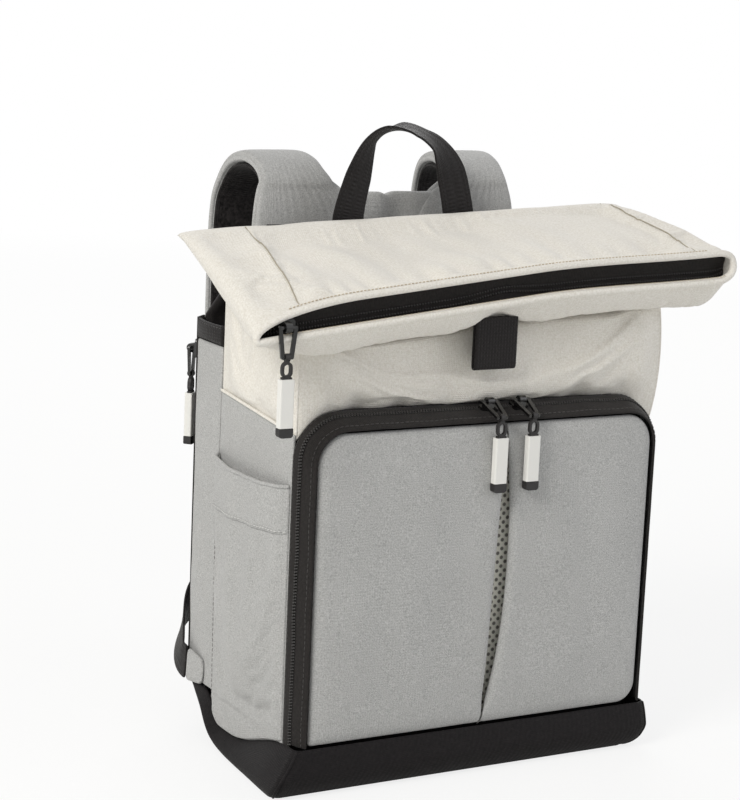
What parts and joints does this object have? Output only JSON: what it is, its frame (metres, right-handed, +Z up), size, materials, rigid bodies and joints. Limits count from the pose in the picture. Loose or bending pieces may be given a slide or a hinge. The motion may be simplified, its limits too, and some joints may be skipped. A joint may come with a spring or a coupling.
{
  "type": "backpack",
  "caption": "Fold-over backpack with a zipped front pocket, a zipped back sleeve, side pockets, a haul handle and padded shoulder straps.",
  "frame": {"origin": "on the flat underside of the base, below the middle of the body", "axes": "+Z up, -Y to the front pocket, +X to the right for a viewer facing the front"},
  "size_m": [0.356, 0.2353, 0.4215],
  "materials": {
    "heather_grey": "woven heather polyester",
    "cream_canvas": "woven canvas",
    "black_base": "coated ballistic weave",
    "black_mesh": "spacer mesh over foam",
    "black_lining": "plain woven lining",
    "zip_tape": "woven zip tape with a coil chain",
    "black_webbing": "woven webbing",
    "slider_metal": "black enamelled zinc",
    "pull_dark": "matte moulded rubber",
    "pull_pale": "matte moulded",
    "lock_plastic": "matte moulded",
    "base_stiffener": "plain sheet",
    "vent_mesh": "perforated knit"
  },
  "bodies": {
    "bag": {"base_pan": "black_base", "base_board": "base_stiffener", "side_panel_left": "heather_grey", "side_panel_right": "heather_grey", "upper_side_left": "cream_canvas", "upper_side_right": "cream_canvas", "upper_front": "cream_canvas", "pocket_back_wall": "black_lining", "divider_panel": "black_lining", "upper_back": "cream_canvas", "side_pocket_left": "heather_grey", "side_pocket_right": "heather_grey", "sleeve_gusset_left": "heather_grey", "sleeve_gusset_right": "heather_grey", "sleeve_bands": "zip_tape", "sleeve_zip_tape": "zip_tape", "back_panel": "black_lining", "back_pads": "black_mesh", "strap_yoke": "heather_grey", "strap_pad_left": "heather_grey", "strap_pad_right": "heather_grey", "strap_mesh_left": "black_mesh", "strap_mesh_right": "black_mesh", "ladder_lock_left": "lock_plastic", "ladder_lock_right": "lock_plastic", "strap_web_left": "black_webbing", "strap_web_right": "black_webbing", "strap_tabs": "heather_grey", "handle_patches": "black_webbing", "body_zip_band": "zip_tape"},
    "handle": {"haul_handle": "black_webbing"},
    "pocket_panel": {"panel_zip_band": "zip_tape", "front_panel_left": "heather_grey", "front_panel_right": "heather_grey", "vent_mesh": "vent_mesh", "panel_lining": "black_lining"},
    "flap": {"flap_top": "cream_canvas", "flap_under": "cream_canvas", "flap_zip_tape": "zip_tape"},
    "tab": {"closure_tab": "black_webbing"},
    "front_left_slider": {"slider_front_left": "slider_metal"},
    "front_left_bail": {"bail_front_left": "slider_metal"},
    "front_left_pull": {"pull_core_front_left": "pull_dark", "pull_bar_front_left": "pull_pale"},
    "front_right_slider": {"slider_front_right": "slider_metal"},
    "front_right_bail": {"bail_front_right": "slider_metal"},
    "front_right_pull": {"pull_core_front_right": "pull_dark", "pull_bar_front_right": "pull_pale"},
    "mouth_slider": {"slider_mouth": "slider_metal"},
    "mouth_bail": {"bail_mouth": "slider_metal"},
    "mouth_pull": {"pull_core_mouth": "pull_dark", "pull_bar_mouth": "pull_pale"},
    "sleeve_slider": {"slider_sleeve": "slider_metal"},
    "sleeve_bail": {"bail_sleeve": "slider_metal"},
    "sleeve_pull": {"pull_core_sleeve": "pull_dark", "pull_bar_sleeve": "pull_pale"}
  },
  "joints": [
    {"name": "flap_fold", "type": "hinge", "parent": "bag", "child": "flap", "pos_m": [0, 0.024, 0.352], "axis": [-0.999, 0, -0.0454], "range_deg": [0, 90]},
    {"name": "pocket_open", "type": "hinge", "parent": "bag", "child": "pocket_panel", "pos_m": [0, -0.0985, 0.03215], "axis": [1, 0, 0], "range_deg": [0, 75]},
    {"name": "handle_swing", "type": "hinge", "parent": "bag", "child": "handle", "pos_m": [0, 0.0321, 0.347], "axis": [-1, 0, 0], "range_deg": [0, 30]},
    {"name": "tab_swing", "type": "hinge", "parent": "flap", "child": "tab", "pos_m": [0, -0.092, 0.30259], "axis": [-1, 0, 0], "range_deg": [0, 40]},
    {"name": "front_left_zip", "type": "slide", "parent": "pocket_panel", "child": "front_left_slider", "axis": [-1, 0, 0], "range_m": [0, 0.095]},
    {"name": "front_left_bail_swing", "type": "hinge", "parent": "front_left_slider", "child": "front_left_bail", "pos_m": [0.0005, -0.08854, 0.24905], "axis": [-1, 0, 0], "range_deg": [0, 60]},
    {"name": "front_left_pull_swing", "type": "hinge", "parent": "front_left_bail", "child": "front_left_pull", "pos_m": [0.0005, -0.10496, 0.24167], "axis": [-1, 0, 0], "range_deg": [0, 80]},
    {"name": "front_right_zip", "type": "slide", "parent": "pocket_panel", "child": "front_right_slider", "axis": [1, 0, 0], "range_m": [0, 0.07]},
    {"name": "front_right_bail_swing", "type": "hinge", "parent": "front_right_slider", "child": "front_right_bail", "pos_m": [0.025, -0.08854, 0.24905], "axis": [-1, 0, 0], "range_deg": [0, 60]},
    {"name": "front_right_pull_swing", "type": "hinge", "parent": "front_right_bail", "child": "front_right_pull", "pos_m": [0.025, -0.10496, 0.24167], "axis": [-1, 0, 0], "range_deg": [0, 80]},
    {"name": "mouth_zip", "type": "slide", "parent": "flap", "child": "mouth_slider", "axis": [0.9945, 0, 0.1045], "range_m": [0, 0.31]},
    {"name": "mouth_bail_swing", "type": "hinge", "parent": "mouth_slider", "child": "mouth_bail", "pos_m": [-0.158, -0.1092, 0.30639], "axis": [-1, 0, 0], "range_deg": [0, 60]},
    {"name": "mouth_pull_swing", "type": "hinge", "parent": "mouth_bail", "child": "mouth_pull", "pos_m": [-0.158, -0.1092, 0.28839], "axis": [-1, 0, 0], "range_deg": [0, 80]},
    {"name": "sleeve_zip", "type": "slide", "parent": "bag", "child": "sleeve_slider", "axis": [0, 0, -1], "range_m": [0, 0.12]},
    {"name": "sleeve_bail_swing", "type": "hinge", "parent": "sleeve_slider", "child": "sleeve_bail", "pos_m": [-0.13638, 0.07838, 0.263], "axis": [0.7071, 0.7071, 0], "range_deg": [0, 60]},
    {"name": "sleeve_pull_swing", "type": "hinge", "parent": "sleeve_bail", "child": "sleeve_pull", "pos_m": [-0.13638, 0.07838, 0.245], "axis": [0.7071, 0.7071, 0], "range_deg": [0, 80]}
  ]
}
